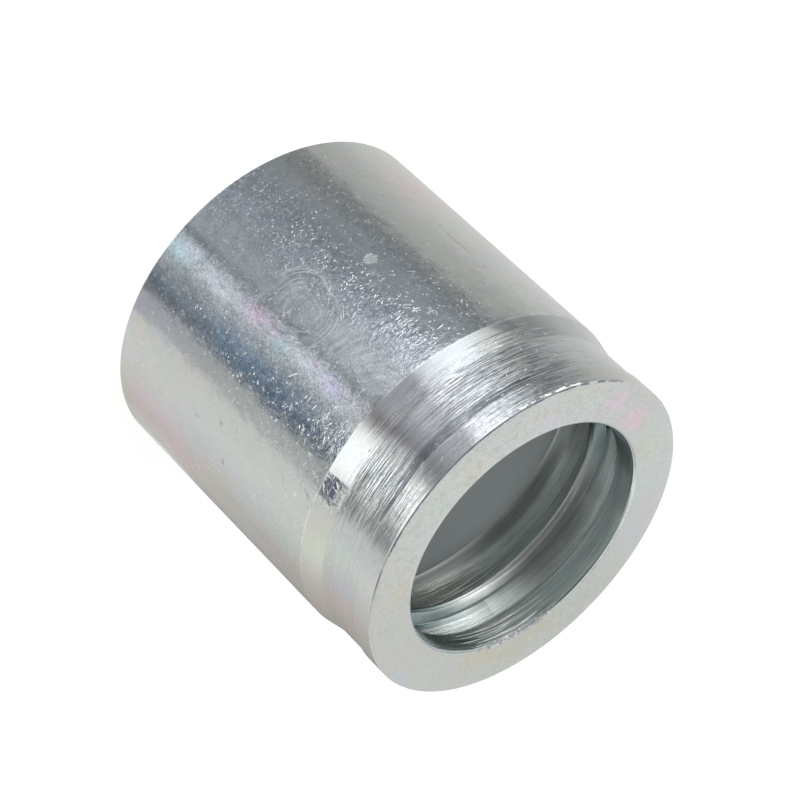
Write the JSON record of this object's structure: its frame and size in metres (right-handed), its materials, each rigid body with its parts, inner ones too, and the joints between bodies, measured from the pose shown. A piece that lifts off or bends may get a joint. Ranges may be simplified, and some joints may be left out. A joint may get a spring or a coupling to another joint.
{
  "type": "crimp hose ferrule",
  "caption": "Round zinc-plated steel crimp ferrule that is pressed over a wire-braided hydraulic hose and closes on the groove of its fitting.",
  "frame": {"origin": "centre of the flat hose-end face, on the surface that the ferrule stands on", "axes": "+Z along the bore axis from the hose end to the fitting end; X and Y are free, because the ferrule is turned"},
  "size_m": [0.048, 0.048, 0.052],
  "materials": {
    "zinc_plated_steel": "bright zinc plating with a clear passivation, satin turned lines, small dings and rub marks"
  },
  "bodies": {
    "root": {"ferrule": "zinc_plated_steel"}
  },
  "joints": []
}
